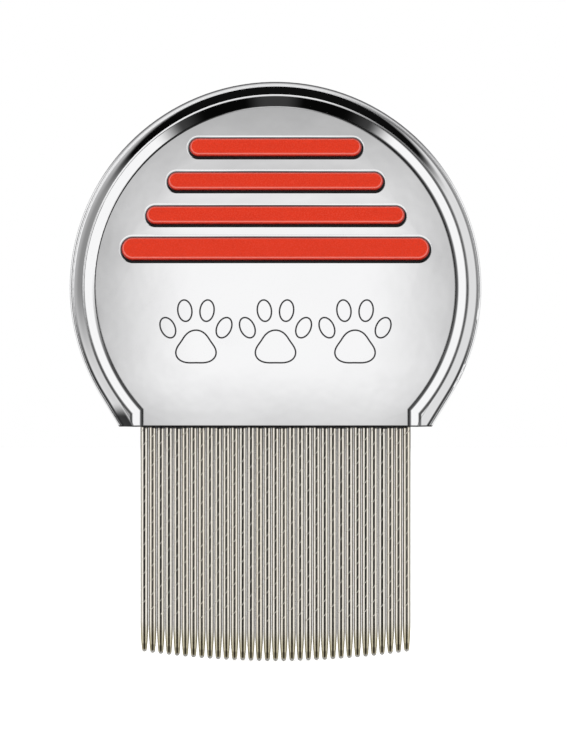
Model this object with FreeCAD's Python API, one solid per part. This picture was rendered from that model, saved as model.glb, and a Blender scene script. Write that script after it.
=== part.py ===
import FreeCAD, Part
import math
import os

from FreeCAD import Vector

# Flea comb with a round pressed-steel handle and one row of long, fine metal teeth.
#
# The handle is a clamshell: two pressings of stainless sheet, each with a raised rim round a slightly
# crowned face, meet edge to edge on the middle plane and are seam-welded there. A moulded core fills
# them. Four soft grip strips on each face come up through slots in the sheet, and a lip under the
# sheet holds each one. At the mouth two grooved steel bars clamp the row of round pins, and a bead
# of epoxy closes the mouth. The pins are all alike, each with a tapered, rounded tip, and they are
# set along a shallow arc. Their helical groove, 0.03 deep, is finer than these solids go.
#
# Frame, millimetres: +Z runs from the tips of the teeth to the top of the handle, the front looks
# along -Y, and the two pressings meet on the plane Y = 0. The origin is at the tip of the middle
# tooth. A "depth" is a distance in front of that plane. The front half of the handle is drawn, and
# the back half is its mirror image.

# ---------------------------------------------------------------- driving dimensions
# handle outline
handle_d = 67.0  # across the outer walls
mouth_drop = 22.6  # from the handle's centre down to its mouth
shoulder_deg = 31.5  # below the horizontal, where the outline leaves the circle along its tangent
sheet = 0.5  # thickness of the pressed sheet

# face
face_depth = 2.2  # at the foot of the rim
face_crown = 0.35  # how much deeper it is at the handle's centre
neck_half = 21.7  # half width of the face where it runs down to the mouth
neck_blend_r = 1.2  # where the round rim turns down into the neck

# rim section: radius from the handle's centre, depth
face_r = 29.4  # foot of the inner slope
land_inner_r = 30.95  # narrow flat land on top
land_outer_r = 31.2
land_depth = 3.4
flange_r = 32.85  # foot of the outer slope
flange_depth = 1.25
slope_bulge = 0.12  # how far the outer slope is bowed out
slope_bow_r = 12.0
seam_chamfer = 0.12  # on each half, so that the weld lies in a shallow V

# small roundings of the pressing
land_fillet = 0.15
foot_fillet = 0.5
flange_foot_fillet = 0.2
wall_fillet = 0.4
mouth_fillet = 0.15

# teeth
tooth_count = 33
tooth_pitch = 1.335
tooth_d = 1.28
tooth_reach = 38.2  # middle tooth, from the mouth to its tip
tooth_rooted = 10.0  # how far the middle tooth goes on up inside the handle
tip_rise = 1.5  # how much higher the outermost teeth are set
tip_d = 0.8
taper_length = 4.6

# clamp bars and seal
bar_half = 22.2
bar_depth = 1.6
bar_height = 8.5
bar_chamfer = 0.3
bar_gap = 0.03  # between each bar and the middle plane
seal_inset = 0.4  # how far the epoxy lies inside the mouth
seal_height = 0.6
bore_gap = 0.01  # round a pin, in whatever holds it

# grip strips: (length, height, height of its middle above the handle's centre)
strips = [(28.0, 3.0, 22.7), (35.0, 3.0, 17.2), (42.0, 3.0, 11.7), (50.0, 3.75, 6.25)]
strip_depth = 3.3  # flat top of a strip
strip_fillet = 0.45
strip_root = 1.05  # depth where a strip begins
retainer_depth = 1.55  # the strip is wider up to here, under the sheet
retainer_width = 0.7
slot_gap = 0.12  # between a strip and its slot
slot_lip = 0.2  # how far the sheet is raised round a slot
slot_lip_width = 0.32
slot_lip_fillet = 0.18

core_gap = 0.05  # between the core and everything round it

# ---------------------------------------------------------------- sizes that follow
wall_r = handle_d / 2
mouth = tooth_reach  # height of the mouth
centre = mouth + mouth_drop  # height of the handle's centre
crown_r = (face_r**2 + face_crown**2) / (2 * face_crown)
slope_run = (land_inner_r - face_r) / (land_depth - face_depth)  # radius per depth
tooth_r = tooth_d / 2
tip_r = tip_d / 2
row_half = tooth_pitch * (tooth_count - 1) / 2
tip_arc_r = (row_half**2 + tip_rise**2) / (2 * tip_rise)
seal_bottom = mouth + seal_inset
seal_top = seal_bottom + seal_height
bar_top = seal_top + bar_height
root_room_top = mouth + tooth_rooted + tip_rise + 0.5
reach = 60.0  # past everything
beyond = 5.0  # past the front or the back of the handle

FORWARD = Vector(0, -1, 0)
BACKWARD = Vector(0, 1, 0)
MIDDLE = Vector(0, 0, centre)


# ---------------------------------------------------------------- helpers
def point(x, depth, z=0.0):
    """x, depth in front of the middle plane, and height above the handle's centre."""
    return Vector(x, -depth, centre + z)


def rounded_wire(corners):
    """A closed wire through corners, each a point and the radius of its rounding."""
    edges = []
    ends = []
    count = len(corners)
    for i, (here, radius) in enumerate(corners):
        back = (corners[i - 1][0] - here).normalize()
        on = (corners[(i + 1) % count][0] - here).normalize()
        half = back.getAngle(on) / 2
        set_back = radius / math.tan(half)
        start = here + back * set_back
        end = here + on * set_back
        if radius:
            to_centre = (back + on).normalize()
            nearest = here + to_centre * (radius / math.sin(half) - radius)
            edges.append(Part.Arc(start, nearest, end).toShape())
        ends.append((start, end))
    for i in range(count):
        start = ends[i][1]
        end = ends[(i + 1) % count][0]
        edges.append(Part.makeLine(start, end))
    return Part.Wire(Part.__sortEdges__(edges))


def block(x0, x1, y0, y1, z0, z1):
    return Part.makeBox(x1 - x0, y1 - y0, z1 - z0, Vector(x0, y0, z0))


def both_sides(x, y0, y1, z0, z1):
    return block(-x, x, y0, y1, z0, z1)


def mirrored(shape):
    """The same shape in the back half."""
    return shape.mirror(Vector(0, 0, 0), BACKWARD)


def oblong_face(length, height, z, depth):
    r = height / 2
    x = length / 2 - r
    low = Part.makeLine(point(-x, depth, z - r), point(x, depth, z - r))
    right = Part.Arc(point(x, depth, z - r), point(x + r, depth, z), point(x, depth, z + r))
    high = Part.makeLine(point(x, depth, z + r), point(-x, depth, z + r))
    left = Part.Arc(point(-x, depth, z + r), point(-x - r, depth, z), point(-x, depth, z - r))
    return Part.Face(Part.Wire([low, right.toShape(), high, left.toShape()]))


def oblong(length, height, z, depth0, depth1):
    """A bar with round ends that lies across the handle, between two depths."""
    return oblong_face(length, height, z, depth0).extrude(FORWARD * (depth1 - depth0))


def edges_where(shape, test):
    """The edges whose middle points pass the test, which gets x, depth and height above the centre."""
    found = []
    for edge in shape.Edges:
        if edge.Degenerated:
            continue
        middle = edge.valueAt((edge.FirstParameter + edge.LastParameter) / 2)
        if test(middle.x, -middle.y, middle.z - centre):
            found.append(edge)
    return found


# ---------------------------------------------------------------- handle, front half
def rim_section(inset):
    """The handle's half section before its face is pressed in, inset from its outside. Only the outside
    has its small roundings and the bow of its slope."""
    foot = point(flange_r, flange_depth)
    head = point(land_outer_r, land_depth)
    corners = [
        (point(-beyond, -beyond), 0),
        (point(wall_r, -beyond), 0),
        (point(wall_r, flange_depth), wall_fillet),
        (foot, flange_foot_fillet),
        (head, land_fillet),
        (point(-beyond, land_depth), 0),
    ]
    if inset:
        plain = Part.Face(rounded_wire([(corner, 0) for corner, radius in corners]))
        section = plain.makeOffset2D(-inset, 2)
    else:
        outward = (head - foot).cross(Vector(0, 0, 1)).normalize()
        bow = ((foot + head) / 2 - outward * slope_bulge, slope_bow_r)
        section = Part.Face(rounded_wire([*corners[:4], bow, *corners[4:]]))
    return section.common(block(0, reach, -beyond, 0, 0, 2 * reach)).Faces[0]


def full_form(inset):
    """The front half with no face pressed in: round, with a straight run to each shoulder."""
    section = rim_section(inset)
    form = section.revolve(MIDDLE, BACKWARD, 360)
    slope = math.radians(shoulder_deg)
    for side in (1, -1):
        turned = section.copy()
        if side < 0:
            turned = turned.mirror(MIDDLE, Vector(1, 0, 0))
        turned.rotate(MIDDLE, BACKWARD, side * shoulder_deg)
        run = Vector(-side * math.sin(slope), 0, -math.cos(slope)) * mouth_drop
        form = form.fuse(turned.extrude(run))
    return form.removeSplitter()


def face_lens(lift):
    """Everything up to the crowned face, lifted off it. The ball's poles lie far from the face."""
    ball = Part.makeSphere(crown_r, point(0, face_depth + face_crown + lift - crown_r), Vector(1, 0, 1))
    return ball.common(block(-reach, reach, -beyond, beyond, centre - reach, centre + reach))


def face_hollow(grow):
    """The hollow pressed over the face, inside the rim, with its walls moved out by grow."""
    top = land_depth + beyond
    spread = grow * math.sqrt(1 + slope_run**2)
    at_middle_plane = spread - slope_run * face_depth
    at_top = spread + slope_run * (top - face_depth)
    cone = Part.makeCone(face_r + at_middle_plane, face_r + at_top, top, MIDDLE, FORWARD)
    near = neck_half + at_middle_plane
    far = neck_half + at_top
    ends = [point(-near, 0), point(near, 0), point(far, top), point(-far, top), point(-near, 0)]
    neck = Part.Face(Part.makePolygon(ends)).extrude(Vector(0, 0, -mouth_drop - beyond))
    hollow = cone.fuse(neck).removeSplitter()
    bends = edges_where(hollow, lambda x, depth, z: abs(x) > neck_half and z > -mouth_drop)
    hollow = hollow.makeFillet(neck_blend_r - grow, bends)
    return hollow.cut(face_lens(-grow))


def outside():
    """The front half as if solid, with its face pressed in and its edges rounded."""

    def foot(x, depth, z):
        return depth < face_depth + 0.1 and z > -mouth_drop - beyond / 2

    def inner_land(x, depth, z):
        on_land = abs(depth - land_depth) < 0.01
        return on_land and z > -mouth_drop and math.hypot(x, z) < land_outer_r - land_fillet - 0.05

    def seam(x, depth, z):
        return abs(depth) < 0.01 and z > -mouth_drop + 0.01

    def mouth_edge(x, depth, z):
        return abs(z + mouth_drop) < 0.01 and depth > 0.01

    hollow = face_hollow(0)
    hollow = hollow.makeFillet(foot_fillet, edges_where(hollow, foot))
    form = full_form(0).cut(hollow)
    form = form.common(block(-reach, reach, -beyond, 0, mouth, centre + reach))
    form = form.makeFillet(land_fillet, edges_where(form, inner_land))
    form = form.makeChamfer(seam_chamfer, edges_where(form, seam))
    return form.makeFillet(mouth_fillet, edges_where(form, mouth_edge))


def slot_lips():
    """The sheet raised round each slot, rounded off on its outside."""
    lips = []
    for length, height, z in strips:
        grow = 2 * (slot_gap + slot_lip_width)
        lip = oblong(length + grow, height + grow, z, face_depth - sheet / 2, land_depth)
        lip = lip.common(face_lens(slot_lip))

        def top(x, depth, z):
            return depth > face_depth + slot_lip / 2

        lips.append(lip.makeFillet(slot_lip_fillet, edges_where(lip, top)))
    return lips


def slots():
    """What the slots cut out of the sheet."""
    cuts = []
    for length, height, z in strips:
        cuts.append(oblong(length + 2 * slot_gap, height + 2 * slot_gap, z, strip_root, land_depth))
    return cuts


def inside(gap):
    """The space inside the front half's sheet, made smaller by gap. It runs on below the mouth."""
    return full_form(sheet + gap).cut(face_hollow(sheet + gap))


def pressed_half():
    form = outside().fuse(slot_lips())
    return form.cut([inside(0), *slots()])


# ---------------------------------------------------------------- teeth
def set_height(x):
    """How much higher a tooth at x is set than the middle one."""
    return tip_arc_r - math.sqrt(tip_arc_r**2 - x**2)


def tooth_places():
    return [tooth_pitch * (i - (tooth_count - 1) / 2) for i in range(tooth_count)]


def tooth():
    """One pin, with its tip at the origin: a round end, a long slight taper and a plain shank."""
    length = tooth_reach + tooth_rooted
    slant = tip_r * math.sqrt(0.5)
    round_end = Part.Arc(Vector(0, 0, 0), Vector(slant, 0, tip_r - slant), Vector(tip_r, 0, tip_r))
    corners = [
        Vector(tip_r, 0, tip_r),
        Vector(tooth_r, 0, taper_length),
        Vector(tooth_r, 0, length),
        Vector(0, 0, length),
        Vector(0, 0, 0),
    ]
    lines = [Part.makeLine(a, b) for a, b in zip(corners, corners[1:])]
    section = Part.Face(Part.Wire([round_end.toShape(), *lines]))
    return section.revolve(Vector(0, 0, 0), Vector(0, 0, 1), 360)


def tooth_bores():
    """Round holes for the whole row, from below the mouth up past the ends of the teeth."""
    bores = []
    for x in tooth_places():
        low = Vector(x, 0, mouth - 1)
        bores.append(Part.makeCylinder(tooth_r + bore_gap, root_room_top - mouth + 1, low))
    return bores


# ---------------------------------------------------------------- clamp bars, seal and core
def clamp_bar():
    """The front bar, with half a bore for every tooth."""
    bar = both_sides(bar_half, -bar_depth, -bar_gap, seal_top, bar_top)
    along = edges_where(bar, lambda x, depth, z: x == 0 and abs(depth - bar_depth) < 0.01)
    return bar.makeChamfer(bar_chamfer, along).cut(tooth_bores())


def whole_inside(gap):
    """The space inside both halves."""
    half = inside(gap)
    return half.fuse(mirrored(half)).removeSplitter()


def seal():
    slab = both_sides(reach, -beyond, beyond, seal_bottom, seal_top - core_gap)
    return whole_inside(bore_gap).common(slab).cut(tooth_bores())


def core():
    """The moulded filling, with room for the bars, the ends of the teeth and the strips."""
    form = whole_inside(core_gap)
    form = form.common(both_sides(reach, -beyond, beyond, seal_top, centre + reach))
    form = form.cut(both_sides(bar_half + core_gap, -beyond, beyond, mouth, bar_top + core_gap))
    form = form.cut(both_sides(row_half + 1, -tooth_r - core_gap, tooth_r + core_gap, mouth, root_room_top))
    for length, height, z in strips:
        grow = 2 * (retainer_width + core_gap)
        room = oblong(length + grow, height + grow, z, strip_root - core_gap, land_depth)
        form = form.cut([room, mirrored(room)])
    return form


# ---------------------------------------------------------------- grip strips
def grip(length, height, z):
    """A soft strip: its top, which stands out of the slot, on a wider root under the sheet."""
    top = oblong(length, height, z, strip_root, strip_depth)
    rim = edges_where(top, lambda x, depth, z: abs(depth - strip_depth) < 0.01)
    top = top.makeFillet(strip_fillet, rim)
    grow = 2 * retainer_width
    root = oblong(length + grow, height + grow, z, strip_root, retainer_depth)
    return top.fuse(root).removeSplitter()


# ---------------------------------------------------------------- all the pieces
def pieces():
    half = pressed_half()
    bar = clamp_bar()
    named = {
        "front_shell": half,
        "back_shell": mirrored(half),
        "handle_core": core(),
        "clamp_bar_front": bar,
        "clamp_bar_back": mirrored(bar),
        "mouth_seal": seal(),
    }
    for i, strip in enumerate(strips, 1):
        named[f"front_grip_{i}"] = grip(*strip)
        named[f"back_grip_{i}"] = mirrored(grip(*strip))
    pin = tooth()
    for i, x in enumerate(tooth_places(), 1):
        named[f"tooth_{i:02d}"] = pin.translated(Vector(x, 0, set_height(x)))
    return named


os.makedirs("parts", exist_ok=True)
for name, shape in pieces().items():
    solids = shape.Solids
    if len(solids) != 1 or not solids[0].isValid():
        raise SystemExit(f"{name}: {len(solids)} solids, and each piece has to be one valid solid")
    solids[0].exportStep(f"parts/{name}.step")
    print(f"{name}: {solids[0].Volume:.1f} mm3")
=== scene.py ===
import math

import bpy
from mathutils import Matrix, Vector
from mathutils.bvhtree import BVHTree


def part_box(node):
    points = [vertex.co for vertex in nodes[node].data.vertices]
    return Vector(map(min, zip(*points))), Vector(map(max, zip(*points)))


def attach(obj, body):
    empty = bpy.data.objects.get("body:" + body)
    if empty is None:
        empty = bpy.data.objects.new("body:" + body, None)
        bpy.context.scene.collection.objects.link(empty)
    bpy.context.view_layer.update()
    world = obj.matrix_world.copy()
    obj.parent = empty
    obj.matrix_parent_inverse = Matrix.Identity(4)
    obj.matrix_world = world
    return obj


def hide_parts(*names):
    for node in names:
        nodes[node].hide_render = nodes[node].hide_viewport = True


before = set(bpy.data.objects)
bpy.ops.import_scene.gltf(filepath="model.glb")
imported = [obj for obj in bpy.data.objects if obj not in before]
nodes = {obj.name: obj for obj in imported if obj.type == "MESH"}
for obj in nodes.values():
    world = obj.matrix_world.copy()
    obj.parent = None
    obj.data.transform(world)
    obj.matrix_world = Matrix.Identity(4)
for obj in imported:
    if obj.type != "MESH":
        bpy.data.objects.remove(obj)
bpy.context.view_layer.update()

# Flea comb, metres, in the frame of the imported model: +Z from the tips of the teeth to the top of
# the handle, front face towards -Y, origin at the tip of the middle tooth.

MM = 0.001
scene = bpy.context.scene

# ---------------------------------------------------------------- sizes taken from the frame
TOOTH_NAMES = sorted(name for name in nodes if name.startswith("tooth_"))
HANDLE_LOW, HANDLE_HIGH = (Vector(corner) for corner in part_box("front_shell"))
SEAL_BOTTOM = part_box("mouth_seal")[0][2]
STRIP_NAMES = sorted(name for name in nodes if name.startswith("front_grip_"))
STRIP_TOP = -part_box(STRIP_NAMES[0])[0][1]
MOUTH = HANDLE_LOW.z
WALL_R = HANDLE_HIGH.x
CENTRE_Z = HANDLE_HIGH.z - WALL_R

# ---------------------------------------------------------------- camera
VIEW_HEIGHT = 122.2 * MM  # what the picture takes in from top to bottom, at the comb
VIEW_DISTANCE = 520 * MM
VIEW_MIDDLE = Vector((1.3 * MM, 0.0, 46.6 * MM))

# ---------------------------------------------------------------- light
SOFT_LIGHT = 0.26  # strength of the even light on everything that isn't polished
FLOOR_GLOW = 0.3
TOP_LIGHT_WATTS = 60.0
FRONT_LIGHT_WATTS = 1.0

# ---------------------------------------------------------------- where the handle's creases run
FOOT_CREASE = WALL_R - 4.1 * MM  # radius of the face, at the foot of the rim
RIDGE = WALL_R - 2.42 * MM
FLANGE_CREASE = WALL_R - 0.68 * MM
NECK_HALF = 21.7 * MM  # half width of the face where it runs down to the mouth
SHOULDER = math.radians(31.5)  # below this the outline is straight
CREASE_HALF = 0.23 * MM

# ---------------------------------------------------------------- grip strips
ROOT_WIDTH = 0.7 * MM  # how much wider a strip is under the sheet
UNDER_SHIFT = (0.08 * MM, -0.22 * MM)  # which way the painted shadow lies from a slot

# ---------------------------------------------------------------- teeth
GROOVE_LEAD = 2.33 * MM
GROOVE_TURNS = 14
GROOVE_START = 5.4 * MM  # above the tip
GROOVE_HALF = 0.10 * MM
GROOVE_DEPTH = 0.03 * MM
GROOVE_FADE = 1.2 * MM  # how far it takes to reach its depth at each end
TAPER = 4.6 * MM
TIP_R = 0.4 * MM
PHASE_STEP = 137.5  # degrees from one tooth to the next
AROUND = 32

# ---------------------------------------------------------------- epoxy bead under the mouth
BEAD_DROP = 0.34 * MM  # how far it hangs below the mouth
BEAD_HALF_DEPTH = 1.5 * MM

# ---------------------------------------------------------------- etched paw prints
PAW_SIZE = 12.0 * MM
PAW_PITCH = 12.9 * MM
PAW_DROP = 7.6 * MM  # from the handle's centre down to the middle of the row
LINE_WIDTH = 0.26 * MM
LINE_HEIGHT = 0.02 * MM


# ---------------------------------------------------------------- camera, floor and lights
def add_camera():
    """Straight at the front face, from as far as a product shot is taken."""
    data = bpy.data.cameras.new("camera")
    data.sensor_fit = "VERTICAL"
    data.sensor_height = 24.0
    data.lens = data.sensor_height * VIEW_DISTANCE / VIEW_HEIGHT
    data.clip_start = 0.01
    data.clip_end = 50.0
    camera = bpy.data.objects.new("camera", data)
    camera.location = VIEW_MIDDLE - Vector((0, VIEW_DISTANCE, 0))
    camera.rotation_euler = (math.radians(90), 0, 0)
    scene.collection.objects.link(camera)
    scene.camera = camera


def add_floor():
    half = 1.5
    corners = [(-half, -half, 0), (half, -half, 0), (half, half, 0), (-half, half, 0)]
    mesh = bpy.data.meshes.new("floor")
    mesh.from_pydata(corners, [], [(0, 1, 2, 3)])
    floor = bpy.data.objects.new("floor", mesh)
    scene.collection.objects.link(floor)
    mesh.materials.append(floor_paint())
    floor.visible_glossy = False


def add_soft_light(name, place, target, size, power):
    """A large soft light. The steel doesn't mirror it, because the studio's own light is what it mirrors."""
    data = bpy.data.lights.new(name, "AREA")
    data.shape = "RECTANGLE"
    data.size, data.size_y = size
    data.energy = power
    light = bpy.data.objects.new(name, data)
    light.location = place
    light.rotation_euler = (Vector(target) - Vector(place)).to_track_quat("-Z", "Y").to_euler()
    light.visible_glossy = False
    light.visible_camera = False
    scene.collection.objects.link(light)


# ---------------------------------------------------------------- node helpers
class Nodes:
    """Short calls for building a node tree."""

    def __init__(self, tree):
        self.tree = tree
        tree.nodes.clear()

    def add(self, kind, **settings):
        node = self.tree.nodes.new(kind)
        for key, value in settings.items():
            setattr(node, key, value)
        return node

    def put(self, value, socket):
        if isinstance(value, bpy.types.NodeSocket):
            self.tree.links.new(value, socket)
        else:
            socket.default_value = value

    def math(self, operation, *values):
        node = self.add("ShaderNodeMath", operation=operation)
        for value, socket in zip(values, node.inputs):
            self.put(value, socket)
        return node.outputs[0]

    def plus(self, a, b):
        return self.math("ADD", a, b)

    def minus(self, a, b):
        return self.math("SUBTRACT", a, b)

    def times(self, *values):
        result = values[0]
        for value in values[1:]:
            result = self.math("MULTIPLY", result, value)
        return result

    def most(self, *values):
        """The largest of the values"""
        result = values[0]
        for value in values[1:]:
            result = self.math("MAXIMUM", result, value)
        return result

    def less(self, amount, value):
        """1 - amount * value"""
        return self.minus(1.0, self.times(amount, value))

    def length(self, a, b):
        return self.math("SQRT", self.plus(self.times(a, a), self.times(b, b)))

    def choose(self, share, a, b):
        """a where share is 0, b where it is 1"""
        return self.plus(self.times(a, self.less(1.0, share)), self.times(b, share))

    def smooth(self, value, start, end):
        """Rises from 0 to 1 as the value goes from start to end, which may be the lower one."""
        node = self.add("ShaderNodeMapRange", interpolation_type="SMOOTHSTEP")
        low, high = min(start, end), max(start, end)
        numbers = {"From Min": low, "From Max": high, "To Min": 0.0, "To Max": 1.0}
        if start > end:
            numbers.update({"To Min": 1.0, "To Max": 0.0})
        for key, number in numbers.items():
            node.inputs[key].default_value = number
        self.put(value, node.inputs["Value"])
        return node.outputs["Result"]

    def line(self, value, middle, half):
        """1 along a line where the value is near middle, falling off to 0 on both sides"""
        away = self.math("ABSOLUTE", self.minus(value, middle))
        return self.smooth(away, 1.5 * half, 0.5 * half)

    def place(self):
        """The place on the object, as one vector and as x, y and z."""
        place = self.add("ShaderNodeTexCoord").outputs["Object"]
        split = self.add("ShaderNodeSeparateXYZ")
        self.put(place, split.inputs[0])
        return (place, *split.outputs)

    def grain(self, place, size, detail=2.0):
        """Noise from 0 to 1 whose blobs are about this large, one size or one for each axis."""
        sizes = size if isinstance(size, tuple) else (size, size, size)
        scale = self.add("ShaderNodeVectorMath", operation="MULTIPLY")
        self.put(place, scale.inputs[0])
        scale.inputs[1].default_value = [1 / s for s in sizes]
        noise = self.add("ShaderNodeTexNoise")
        noise.inputs["Scale"].default_value = 1.0
        noise.inputs["Detail"].default_value = detail
        self.put(scale.outputs[0], noise.inputs["Vector"])
        return noise.outputs["Fac"]

    def blend(self, share, a, b):
        """Colour a where share is 0, colour b where it is 1."""
        node = self.add("ShaderNodeMix", data_type="RGBA")
        self.put(share, node.inputs["Factor"])
        colors = [socket for socket in node.inputs if socket.type == "RGBA"]
        for color, socket in zip((a, b), colors):
            self.put(color if isinstance(color, bpy.types.NodeSocket) else (*color, 1), socket)
        return next(socket for socket in node.outputs if socket.type == "RGBA")

    def bump(self, height, distance, normal=None):
        node = self.add("ShaderNodeBump")
        node.inputs["Distance"].default_value = distance
        self.put(height, node.inputs["Height"])
        if normal:
            self.put(normal, node.inputs["Normal"])
        return node.outputs["Normal"]


# ---------------------------------------------------------------- studio
def studio_light(n):
    """How bright the studio is in each direction, which the polished steel mirrors. The numbers are shares of
    a direction one unit long: x to the right, y away from the camera and z up."""
    place = n.add("ShaderNodeTexCoord")
    split = n.add("ShaderNodeSeparateXYZ")
    n.put(place.outputs["Generated"], split.inputs[0])
    x, y, z = split.outputs
    aside = n.math("ABSOLUTE", x)
    in_front = n.smooth(y, 0.1, -0.1)
    # a bright card straight ahead, dimmer towards its top and foot, in a dark surround to its sides
    beside = n.times(n.smooth(aside, 0.045, 0.158), n.smooth(aside, 0.62, 0.48))
    card_side = n.times(beside, n.smooth(z, 0.26, 0.12), in_front)
    across_card = n.smooth(aside, 0.5, 0.3)
    card_top = n.times(n.smooth(z, 0.045, 0.145), n.smooth(z, 0.26, 0.17), across_card, in_front)
    card_foot = n.times(n.smooth(z, -0.015, -0.065), across_card, in_front)
    # the floor of the studio in front is dark, and so is a thin strip under the card
    across_floor = n.smooth(aside, 0.50, 0.36)
    low_front = n.times(n.smooth(z, -0.46, -0.60), across_floor, n.smooth(y, 0.25, 0.0))
    under_card = n.times(n.line(z, -0.22, 0.06), across_floor, in_front)
    # low down to either side it is a little dim, and lighter again near the floor
    corner = n.times(n.smooth(aside, 0.50, 0.60), n.smooth(y, -0.52, -0.60), n.smooth(z, -0.20, -0.40))
    corner = n.times(corner, n.choose(n.smooth(z, -0.40, -0.52), 1.0, 0.45))
    # and the two ends of the studio are a little dim
    ends = n.smooth(aside, 0.975, 0.99)
    # a long dark gap overhead
    across = n.math("DIVIDE", x, 0.80)
    along = n.math("DIVIDE", n.minus(y, 0.22), 0.30)
    oval = n.plus(n.times(across, across), n.times(along, along))
    overhead = n.times(n.smooth(oval, 1.15, 0.75), n.smooth(z, 0.2, 0.5))
    # behind and to the left it is half dark, less so low down
    left_rear = n.times(n.smooth(x, -0.3, -0.6), n.smooth(y, 0.0, 0.16), n.smooth(y, 0.75, 0.25))
    left_rear = n.times(left_rear, n.choose(n.smooth(z, -0.45, 0.05), 0.40, 1.0))
    right_rear = n.times(n.smooth(x, 0.3, 0.6), n.smooth(y, 0.0, 0.16))
    return n.times(
        n.less(0.95, card_side),
        n.less(0.60, card_top),
        n.less(0.40, card_foot),
        n.less(0.93, low_front),
        n.less(0.70, under_card),
        n.less(0.34, corner),
        n.less(0.22, ends),
        n.less(0.995, overhead),
        n.less(0.72, left_rear),
        n.less(0.22, right_rear),
    )


def add_world():
    """The steel mirrors the studio, everything else gets a soft even light, and the backdrop is white."""
    world = bpy.data.worlds.new("studio")
    world.use_nodes = True
    scene.world = world
    n = Nodes(world.node_tree)
    rays = n.add("ShaderNodeLightPath")
    mirrored = n.add("ShaderNodeBackground")
    soft = n.add("ShaderNodeBackground")
    backdrop = n.add("ShaderNodeBackground")
    for background in (mirrored, soft, backdrop):
        background.inputs["Color"].default_value = (1, 1, 1, 1)
    n.put(studio_light(n), mirrored.inputs["Strength"])
    soft.inputs["Strength"].default_value = SOFT_LIGHT
    backdrop.inputs["Strength"].default_value = 1.0

    def mix(share, a, b):
        node = n.add("ShaderNodeMixShader")
        for value, socket in zip((share, a, b), node.inputs):
            n.put(value, socket)
        return node.outputs[0]

    lit = mix(rays.outputs["Is Diffuse Ray"], mirrored.outputs[0], soft.outputs[0])
    seen = mix(rays.outputs["Is Camera Ray"], lit, backdrop.outputs[0])
    out = n.add("ShaderNodeOutputWorld")
    n.put(seen, out.inputs["Surface"])


# ---------------------------------------------------------------- materials
def new_material(name, **uniform):
    """A material with one shader, whose even settings are given by name with _ for a space."""
    material = bpy.data.materials.new(name)
    material.use_nodes = True
    n = Nodes(material.node_tree)
    shader = n.add("ShaderNodeBsdfPrincipled")
    for key, value in uniform.items():
        shader.inputs[key.replace("_", " ")].default_value = value
    out = n.add("ShaderNodeOutputMaterial")
    n.put(shader.outputs[0], out.inputs["Surface"])
    return material, n, shader


def floor_paint():
    glow = {"Emission_Color": (1, 1, 1, 1), "Emission_Strength": FLOOR_GLOW}
    material, n, shader = new_material("floor paint", **glow)
    place, *_ = n.place()
    n.put(n.blend(n.grain(place, 0.02), (0.93, 0.93, 0.93), (0.95, 0.95, 0.95)), shader.inputs["Base Color"])
    n.put(n.choose(n.grain(place, 0.004), 0.85, 0.95), shader.inputs["Roughness"])
    return material


def scratches(n, place, turn):
    """Fine, sparse hairlines, all running one way."""
    turned = n.add("ShaderNodeVectorRotate", rotation_type="Y_AXIS")
    turned.inputs["Angle"].default_value = math.radians(turn)
    n.put(place, turned.inputs["Vector"])
    return n.smooth(n.grain(turned.outputs[0], (0.05 * MM, 4 * MM, 7 * MM), 1.0), 0.70, 0.80)


def rim_place(n, x, z):
    """Height above the handle's centre, distance out from the foot of the rim, and size of the outline that
    runs through this place, where WALL_R is the handle's own."""
    up = n.minus(z, CENTRE_Z)
    aside = n.math("ABSOLUTE", x)
    radius = n.length(x, up)
    # the face runs straight down inside the neck, which counts only low down
    inside_neck = n.plus(n.minus(aside, NECK_HALF), n.smooth(up, -14 * MM, -13 * MM))
    from_face = n.math("MINIMUM", n.minus(radius, FOOT_CREASE), inside_neck)
    # and the outline runs straight below each shoulder
    along = n.plus(n.times(up, math.cos(SHOULDER)), n.times(aside, math.sin(SHOULDER)))
    straight = n.minus(n.times(aside, math.cos(SHOULDER)), n.times(up, math.sin(SHOULDER)))
    outline = n.choose(n.math("LESS_THAN", along, 0.0), radius, straight)
    return up, from_face, outline


def creases(n, x, z):
    """How much painted shade lies in the creases of the rim and along the edge of the mouth, most of it low
    down and on the right."""
    up, from_face, outline = rim_place(n, x, z)
    foot = n.line(from_face, 0.0, 1.2 * CREASE_HALF)
    ridge_at = RIDGE - FOOT_CREASE
    ridge = n.line(from_face, ridge_at, CREASE_HALF)
    flange = n.line(outline, FLANGE_CREASE, 0.9 * CREASE_HALF)
    mouth = n.smooth(n.minus(z, MOUTH), 0.32 * MM, 0.14 * MM)
    lower = n.smooth(up, 5 * MM, -14 * MM)
    right = n.smooth(x, 5 * MM, 20 * MM)
    foot = n.times(foot, n.most(n.times(0.95, lower), n.times(0.90, right)))
    ridge = n.times(ridge, n.most(n.times(0.85, lower), n.times(0.80, right)))
    flange = n.times(flange, n.most(n.times(0.95, lower), n.times(0.70, right)))
    # the land widens at each shoulder, and carries painted shade there and is rougher
    land = n.smooth(from_face, ridge_at, ridge_at + 0.2 * MM)
    land = n.times(land, n.smooth(outline, RIDGE + 0.3 * MM, RIDGE))
    land = n.times(land, lower, n.choose(right, 0.50, 0.10))
    # painted shade, a dark patch low on the left shoulder
    left_shoulder_shade = n.times(n.smooth(outline, RIDGE, RIDGE + 0.5 * MM), n.smooth(outline, WALL_R, FLANGE_CREASE))
    left_shoulder_shade = n.times(left_shoulder_shade, n.smooth(n.minus(z, MOUTH), 4.0 * MM, 1.6 * MM), n.smooth(x, -20 * MM, -23 * MM))
    return n.math("MINIMUM", n.most(foot, ridge, flange, mouth, left_shoulder_shade, land), 1.0)


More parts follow.
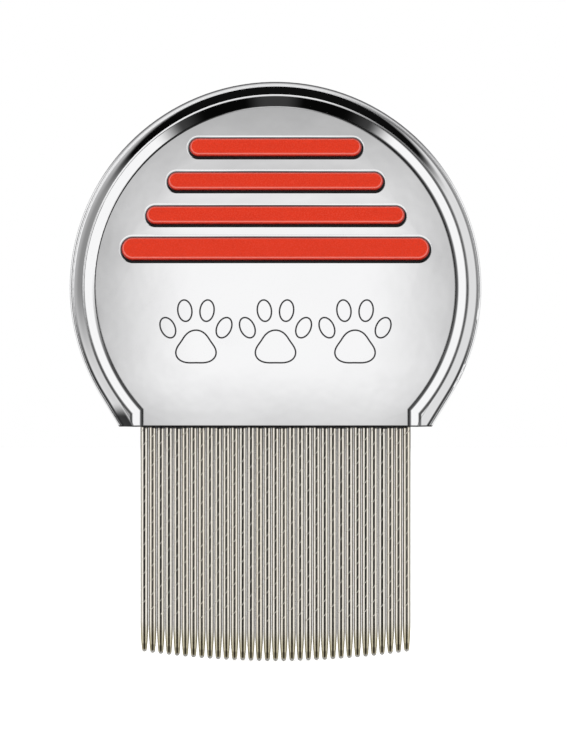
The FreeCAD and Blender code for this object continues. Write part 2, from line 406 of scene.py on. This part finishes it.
def inside_slot(n, x, z):
    """How far inside the outline of its nearest slot this place is, less than 0 outside it."""
    inside = -1.0
    for low, high in (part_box(name) for name in STRIP_NAMES):
        radius = (high[2] - low[2]) / 2 - ROOT_WIDTH
        straight = (high[0] - low[0]) / 2 - ROOT_WIDTH - radius
        past_end = n.most(n.minus(n.math("ABSOLUTE", x), straight), 0.0)
        away = n.length(past_end, n.minus(z, (low[2] + high[2]) / 2))
        inside = n.most(inside, n.minus(radius, away))
    return inside


def under_strips(n, x, z):
    """Painted shadow along the lower and right-hand edge of each slot."""
    inside = inside_slot(n, n.minus(x, UNDER_SHIFT[0]), n.minus(z, UNDER_SHIFT[1]))
    return n.smooth(inside, -0.30 * MM, -0.12 * MM)


def rim_edge(n, x, z):
    """The outer edge of the rim, where the sheet is left rough from grinding, and how much painted shade lies
    on it, which is at the top.
    """
    up, _, outline = rim_place(n, x, z)
    edge = n.smooth(outline, WALL_R - 0.42 * MM, WALL_R - 0.24 * MM)
    return edge, n.times(edge, n.smooth(up, 14 * MM, 25 * MM))


def polished_steel():
    """Mirror-polished sheet with smudges, hairlines, a slight ripple, an edge left rough from grinding with a
    weld seam round it and painted shade along the top of that edge, and painted shade in the creases and
    under the slots."""
    material, n, shader = new_material("polished steel", Metallic=1.0)
    place, x, y, z = n.place()
    smudge = n.smooth(n.grain(place, 7 * MM, 3.0), 0.45, 0.75)
    cloud = n.grain(place, 16 * MM)
    hairs = n.most(scratches(n, place, 24), scratches(n, place, -52))
    seam = n.smooth(n.math("ABSOLUTE", y), 0.30 * MM, 0.16 * MM)
    seam_grain = n.grain(place, (0.5 * MM, 0.03 * MM, 0.5 * MM))
    # painted shade in the creases, along the mouth and under the slots
    painted_shade = n.most(creases(n, x, z), under_strips(n, x, z))
    edge, painted_top_shade = rim_edge(n, x, z)
    clean = n.blend(cloud, (0.90, 0.90, 0.91), (0.95, 0.95, 0.955))
    worn = n.blend(n.times(0.35, seam, seam_grain), clean, (0.45, 0.43, 0.41))
    # painted shade along the top of the rim's outer edge
    with_top_shade = n.blend(n.times(0.85, painted_top_shade), worn, (0.10, 0.10, 0.105))
    # the painted shade takes the steel nearly to black
    n.put(n.blend(n.times(0.97, painted_shade), with_top_shade, (0.008, 0.008, 0.009)), shader.inputs["Base Color"])
    rough = 0.035
    for share, where in ((0.035, smudge), (0.03, hairs), (0.30, seam), (0.25, painted_shade), (0.22, edge)):
        rough = n.plus(rough, n.times(share, where))
    n.put(rough, shader.inputs["Roughness"])
    ripple = n.bump(n.grain(place, 5 * MM), 0.006 * MM)
    fine = n.bump(n.plus(n.times(-0.1, hairs), n.times(seam, seam_grain)), 0.0005 * MM, ripple)
    n.put(fine, shader.inputs["Normal"])
    return material


def tooth_steel():
    """Ground wire: lengthwise drawing marks, a painted dark reflection down the front and the back, painted
    shade where the pins face each other, which are also duller, an olive stain towards the tip, a darker band
    just above the tip on the front and the back, and a light matt end, a painted highlight for the light from
    below."""
    material, n, shader = new_material("tooth steel", Specular_IOR_Level=0.0)
    place, _, _, z = n.place()
    normal = n.add("ShaderNodeNewGeometry").outputs["Normal"]
    split = n.add("ShaderNodeSeparateXYZ")
    n.put(normal, split.inputs[0])
    facing = n.math("ABSOLUTE", split.outputs["Y"])
    sides = n.smooth(facing, 0.80, 0.64)
    # painted dark reflection down the front and the back of each pin
    painted_reflection_line = n.smooth(facing, 0.960, 0.985)
    tone = n.add("ShaderNodeObjectInfo").outputs["Random"]
    marks = n.grain(place, (0.06 * MM, 0.06 * MM, 2.5 * MM), 3.0)
    patches = n.grain(place, (1.5 * MM, 1.5 * MM, 6 * MM))
    base = n.blend(tone, (0.94, 0.88, 0.77), (0.95, 0.92, 0.86))
    marked = n.blend(n.times(0.4, n.smooth(marks, 0.4, 0.7)), base, (0.74, 0.67, 0.55))
    patched = n.blend(n.times(0.2, patches), marked, (0.70, 0.65, 0.54))
    # painted shade where the pins face each other
    side_shade_colour = n.blend(tone, (0.06, 0.052, 0.038), (0.20, 0.185, 0.16))
    shaded_sides = n.blend(n.times(0.97, sides), patched, side_shade_colour)
    lined = n.blend(n.times(n.choose(tone, 0.6, 0.95), painted_reflection_line), shaded_sides, (0.02, 0.018, 0.014))
    near_tip = n.times(0.66, n.smooth(z, 5.5 * MM, 2.0 * MM))
    stained = n.blend(near_tip, lined, (0.40, 0.35, 0.19))
    # a darker band just above the tip, on the front and the back
    at_tip = n.times(0.60, n.line(z, 0.95 * MM, 0.5 * MM), n.smooth(facing, 0.7, 0.9))
    tip_band_darkened = n.blend(at_tip, stained, (0.05, 0.04, 0.012))
    # painted highlight: the end is made light and matt, for the light from below
    end = n.smooth(z, 0.50 * MM, 0.32 * MM)
    n.put(n.blend(end, tip_band_darkened, (0.36, 0.35, 0.33)), shader.inputs["Base Color"])
    n.put(n.less(0.90, n.most(sides, end)), shader.inputs["Metallic"])
    n.put(n.plus(n.choose(marks, 0.08, 0.20), n.times(0.35, sides)), shader.inputs["Roughness"])
    n.put(n.bump(marks, 0.002 * MM), shader.inputs["Normal"])
    return material


def grip_plastic():
    """Moulded plastic with a faint texture, painted shade along its edge and a painted highlight line inside
    it, and painted shade down in the slot it comes up through."""
    material, n, shader = new_material("grip plastic", Specular_IOR_Level=0.3)
    place, x, y, z = n.place()
    texture = n.grain(place, 0.18 * MM, 3.0)
    flow = n.grain(place, (9 * MM, 9 * MM, 1.2 * MM))
    # painted shade down in the slot
    below = n.smooth(n.math("ABSOLUTE", y), STRIP_TOP - 0.12 * MM, STRIP_TOP - 0.30 * MM)
    color = n.blend(flow, (0.60, 0.026, 0.005), (0.66, 0.032, 0.007))
    worn = n.blend(n.times(0.10, n.smooth(texture, 0.5, 0.8)), color, (0.68, 0.09, 0.05))
    # painted shade along the edge of the strip
    edge = n.smooth(inside_slot(n, x, z), 0.30 * MM, 0.16 * MM)
    # a painted highlight line just inside the edge
    painted_highlight_line = n.line(inside_slot(n, x, n.minus(z, 0.14 * MM)), 0.32 * MM, 0.10 * MM)
    lined = n.blend(n.times(0.45, painted_highlight_line), worn, (0.80, 0.30, 0.26))
    edged = n.blend(n.times(0.75, edge), lined, (0.20, 0.004, 0.003))
    n.put(n.blend(n.times(0.94, below), edged, (0.03, 0.001, 0.001)), shader.inputs["Base Color"])
    n.put(n.choose(texture, 0.20, 0.34), shader.inputs["Roughness"])
    n.put(n.bump(texture, 0.004 * MM), shader.inputs["Normal"])
    return material


def epoxy():
    """Dark cured resin, glossy and slightly uneven, with specks."""
    material, n, shader = new_material("epoxy", IOR=1.55)
    place, *_ = n.place()
    specks = n.smooth(n.grain(place, 0.12 * MM), 0.68, 0.76)
    n.put(n.blend(specks, (0.012, 0.012, 0.013), (0.06, 0.058, 0.055)), shader.inputs["Base Color"])
    n.put(n.choose(n.grain(place, 1.5 * MM), 0.10, 0.30), shader.inputs["Roughness"])
    n.put(n.bump(n.grain(place, 0.8 * MM, 3.0), 0.03 * MM), shader.inputs["Normal"])
    return material


def bar_steel():
    """Milled steel with cutter marks across it."""
    material, n, shader = new_material("bar steel", Metallic=1.0)
    place, *_ = n.place()
    marks = n.grain(place, (5 * MM, 5 * MM, 0.12 * MM), 3.0)
    n.put(n.blend(marks, (0.50, 0.49, 0.48), (0.72, 0.71, 0.70)), shader.inputs["Base Color"])
    n.put(n.choose(marks, 0.25, 0.45), shader.inputs["Roughness"])
    n.put(n.bump(marks, 0.006 * MM), shader.inputs["Normal"])
    return material


def core_plastic():
    """Dark moulded filler with a spark-eroded texture and faint flow marks."""
    material, n, shader = new_material("core plastic")
    place, *_ = n.place()
    texture = n.grain(place, 0.25 * MM, 4.0)
    flow = n.grain(place, (12 * MM, 12 * MM, 2 * MM))
    n.put(n.blend(flow, (0.016, 0.016, 0.018), (0.035, 0.035, 0.038)), shader.inputs["Base Color"])
    n.put(n.choose(texture, 0.45, 0.70), shader.inputs["Roughness"])
    n.put(n.bump(texture, 0.02 * MM), shader.inputs["Normal"])
    return material


def etched_line():
    """The dark, matt bottom of an etched line."""
    material, n, shader = new_material("etched line", Metallic=0.5)
    place, *_ = n.place()
    grain = n.grain(place, 0.06 * MM, 3.0)
    n.put(n.blend(grain, (0.03, 0.03, 0.032), (0.06, 0.06, 0.064)), shader.inputs["Base Color"])
    n.put(n.choose(grain, 0.45, 0.65), shader.inputs["Roughness"])
    n.put(n.bump(grain, 0.006 * MM), shader.inputs["Normal"])
    return material


# ---------------------------------------------------------------- pieces
def add_piece(name, mesh):
    piece = bpy.data.objects.new(name, mesh)
    scene.collection.objects.link(piece)
    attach(piece, "root")
    return piece


def groove_rows():
    """(height within one lead, depth of the groove) for the rows of one turn."""
    rows = []
    for share in (-1.4, -1.0, -0.5, 0.0, 0.5, 1.0, 1.4):
        rows.append((GROOVE_LEAD / 2 + share * GROOVE_HALF, GROOVE_DEPTH * max(0.0, 1 - share * share)))
    rows.append((GROOVE_LEAD, 0.0))
    return rows


def pin_mesh(length, radius):
    """One tooth with its tip at the origin. Round its shank the rows of vertices climb with the groove, so
    that the mesh follows it, and above and below they are level rings."""
    rows = groove_rows()
    per_turn = len(rows)
    total = per_turn * GROOVE_TURNS
    top_of_groove = GROOVE_START + GROOVE_LEAD * GROOVE_TURNS
    verts, faces = [], []

    def ring(z, r):
        start = len(verts)
        for j in range(AROUND):
            a = 2 * math.pi * j / AROUND
            verts.append((r * math.cos(a), r * math.sin(a), z))
        return [start + j for j in range(AROUND)]

    def join(low, high):
        for j in range(AROUND):
            k = (j + 1) % AROUND
            faces.append((low[j], low[k], high[k], high[j]))

    # round end and taper
    verts.append((0, 0, 0))
    below = None
    for step in range(1, 7):
        a = math.pi / 2 * step / 6
        here = ring(TIP_R * (1 - math.cos(a)), TIP_R * math.sin(a))
        if below:
            join(below, here)
        else:
            faces.extend((0, here[(j + 1) % AROUND], here[j]) for j in range(AROUND))
        below = here
    for step in range(1, 13):
        t = step / 12
        z = TIP_R + (TAPER - TIP_R) * t
        here = ring(z, TIP_R + (radius - TIP_R) * math.sin(math.pi / 2 * t) ** 0.9)
        join(below, here)
        below = here

    # the grooved length: row i at column j is as high as row i + per_turn at the column before 0
    first = len(verts)
    for i in range(total + 1):
        turn, row = divmod(i, per_turn)
        offset, depth = rows[row - 1] if row else (0.0, 0.0)
        base = GROOVE_START + GROOVE_LEAD * turn + offset
        for j in range(AROUND):
            z = base + GROOVE_LEAD * j / AROUND
            ends = min((z - GROOVE_START) / GROOVE_FADE, (top_of_groove - z) / GROOVE_FADE, 1.0)
            r = radius - depth * max(ends, 0.0)
            a = 2 * math.pi * j / AROUND
            verts.append((r * math.cos(a), r * math.sin(a), z))

    def grid(i, j):
        return first + i * AROUND + j

    for i in range(total):
        for j in range(AROUND - 1):
            faces.append((grid(i, j), grid(i, j + 1), grid(i + 1, j + 1), grid(i + 1, j)))
        if i + per_turn < total:
            last = AROUND - 1
            faces.append((grid(i, last), grid(i + per_turn, 0), grid(i + 1 + per_turn, 0), grid(i + 1, last)))

    # from the last level ring up to the first climbing row, closing the seam with a fan
    last = AROUND - 1
    for j in range(last):
        faces.append((below[j], below[j + 1], grid(0, j + 1), grid(0, j)))
    seam = [below[0]] + [grid(i, 0) for i in range(per_turn + 1)] + [grid(0, last)]
    for a, b in zip(seam, seam[1:]):
        faces.append((below[last], a, b))

    # and from the last climbing row to a level ring above it
    above = ring(top_of_groove + 1.1 * GROOVE_LEAD, radius)
    for j in range(last):
        faces.append((grid(total, j), grid(total, j + 1), above[j + 1], above[j]))
    seam = [grid(i, last) for i in range(total - per_turn, total + 1)] + [above[last]]
    corner = grid(total, 0)
    for a, b in zip(seam, seam[1:]):
        faces.append((corner, b, a))
    faces.append((corner, above[0], above[last]))
    top = ring(length, radius)
    join(above, top)
    faces.append(tuple(top))

    mesh = bpy.data.meshes.new("pin")
    mesh.from_pydata(verts, [], faces)
    mesh.validate()
    mesh.update()
    mesh.shade_smooth()
    return mesh


def add_teeth(material):
    low, high = (Vector(corner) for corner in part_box(TOOTH_NAMES[0]))
    mesh = pin_mesh(high.z - low.z, (high.x - low.x) / 2)
    mesh.materials.append(material)
    for i, name in enumerate(TOOTH_NAMES):
        low, high = (Vector(corner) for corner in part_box(name))
        pin = add_piece(f"pin_{i + 1:02d}", mesh)
        pin.location = ((low.x + high.x) / 2, (low.y + high.y) / 2, low.z)
        pin.rotation_euler = (0, 0, math.radians(PHASE_STEP * i))
        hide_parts(name)


def add_bead(material):
    """The bead of epoxy that shows under the mouth, uneven along its length, between the two faces."""
    row_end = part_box(TOOTH_NAMES[-1])[1][0]
    half = row_end + 0.25 * MM
    steps, sides = 300, 16
    tapered_steps = 24
    top = SEAL_BOTTOM + 0.05 * MM
    verts, faces = [], []
    for i in range(steps + 1):
        x = -half + 2 * half * i / steps
        at = x / MM
        swell = 0.30 * math.sin(1.9 * at) + 0.25 * math.sin(0.73 * at + 1) + 0.2 * math.sin(4.7 * at)
        drop = top - MOUTH + BEAD_DROP * (1 + 0.45 * swell)
        taper = min(1.0, 0.35 + 3 * min(i, steps - i) / tapered_steps)
        for j in range(sides):
            a = math.pi * j / (sides - 1)
            y = BEAD_HALF_DEPTH * taper * math.cos(a)
            verts.append((x, y, top - drop * taper * math.sin(a) ** 0.6))
    for i in range(steps):
        for j in range(sides):
            k = (j + 1) % sides
            a, b = i * sides, (i + 1) * sides
            faces.append((a + j, a + k, b + k, b + j))
    faces.append(tuple(range(sides))[::-1])
    faces.append(tuple(steps * sides + j for j in range(sides)))
    mesh = bpy.data.meshes.new("epoxy_bead")
    mesh.from_pydata(verts, [], faces)
    mesh.validate()
    mesh.shade_smooth()
    mesh.materials.append(material)
    add_piece("epoxy_bead", mesh)


def paw_outlines():
    """The closed outlines of one print, one unit high and wide: a rounded pad and four toes."""
    outlines = []
    steps = 96
    turns = [2 * math.pi * i / steps for i in range(steps)]
    pad = []
    for a in turns:
        r = 1 + 0.12 * math.cos(3 * (a - math.pi / 2))
        pad.append((0.26 * r * math.cos(a), 0.22 * r * math.sin(a) - 0.19))
    outlines.append(pad)
    for side in (-1, 1):
        for middle_x, middle_y, lean in ((0.38, 0.09, 0.45), (0.15, 0.32, 0.12)):
            toe = []
            for a in turns:
                u, v = 0.095 * math.cos(a), 0.145 * math.sin(a)
                across = u * math.cos(lean) + v * math.sin(lean)
                upward = v * math.cos(lean) - u * math.sin(lean)
                toe.append((side * (middle_x + across), middle_y + upward))
            outlines.append(toe if side > 0 else toe[::-1])
    return outlines


def add_prints(material):
    """Three paw prints in thin etched outline, in a row under the grip strips. Each line lies on the face."""
    shell = nodes["front_shell"].data
    surface = BVHTree.FromPolygons([v.co for v in shell.vertices], [p.vertices[:] for p in shell.polygons])

    def on_face(x, z, lift):
        hit = surface.ray_cast(Vector((x, HANDLE_LOW.y - MM, z)), Vector((0, 1, 0)))[0]
        return (x, hit.y - lift, z)

    verts, faces = [], []
    for print_at in (-1, 0, 1):
        for outline in paw_outlines():
            points = [
                (print_at * PAW_PITCH + u * PAW_SIZE, CENTRE_Z - PAW_DROP + v * PAW_SIZE) for u, v in outline
            ]
            count = len(points)
            start = len(verts)
            for i, (x, z) in enumerate(points):
                before, after = points[i - 1], points[(i + 1) % count]
                run = Vector((after[0] - before[0], after[1] - before[1])).normalized()
                out_x, out_z = run.y * LINE_WIDTH / 2, -run.x * LINE_WIDTH / 2
                verts.append(on_face(x - out_x, z - out_z, -LINE_HEIGHT))
                verts.append(on_face(x + out_x, z + out_z, -LINE_HEIGHT))
                verts.append(on_face(x + out_x, z + out_z, LINE_HEIGHT))
                verts.append(on_face(x - out_x, z - out_z, LINE_HEIGHT))
            for i in range(count):
                a, b = start + 4 * i, start + 4 * ((i + 1) % count)
                for j in range(4):
                    k = (j + 1) % 4
                    faces.append((a + j, b + j, b + k, a + k))
    mesh = bpy.data.meshes.new("etched_prints")
    mesh.from_pydata(verts, [], faces)
    mesh.validate()
    mesh.materials.append(material)
    add_piece("etched_prints", mesh)


# ---------------------------------------------------------------- the scene
scene.view_settings.view_transform = "Standard"
add_camera()
add_world()
add_floor()
add_soft_light("top_light", (0.0, 0.0, 1.6), (0, 0, 0), (3.0, 3.0), TOP_LIGHT_WATTS)
add_soft_light("front_light", (-0.5, -1.2, 0.6), (0, 0, 0.05), (1.0, 0.8), FRONT_LIGHT_WATTS)

resin = epoxy()
finishes = {
    "shell": polished_steel(),
    "grip": grip_plastic(),
    "core": core_plastic(),
    "clamp_bar": bar_steel(),
    "seal": resin,
}
for name, node in nodes.items():
    for part, material in finishes.items():
        if part in name:
            node.data.materials.clear()
            node.data.materials.append(material)
    if "grip" in name:
        node.visible_glossy = False
add_teeth(tooth_steel())
add_bead(resin)
add_prints(etched_line())
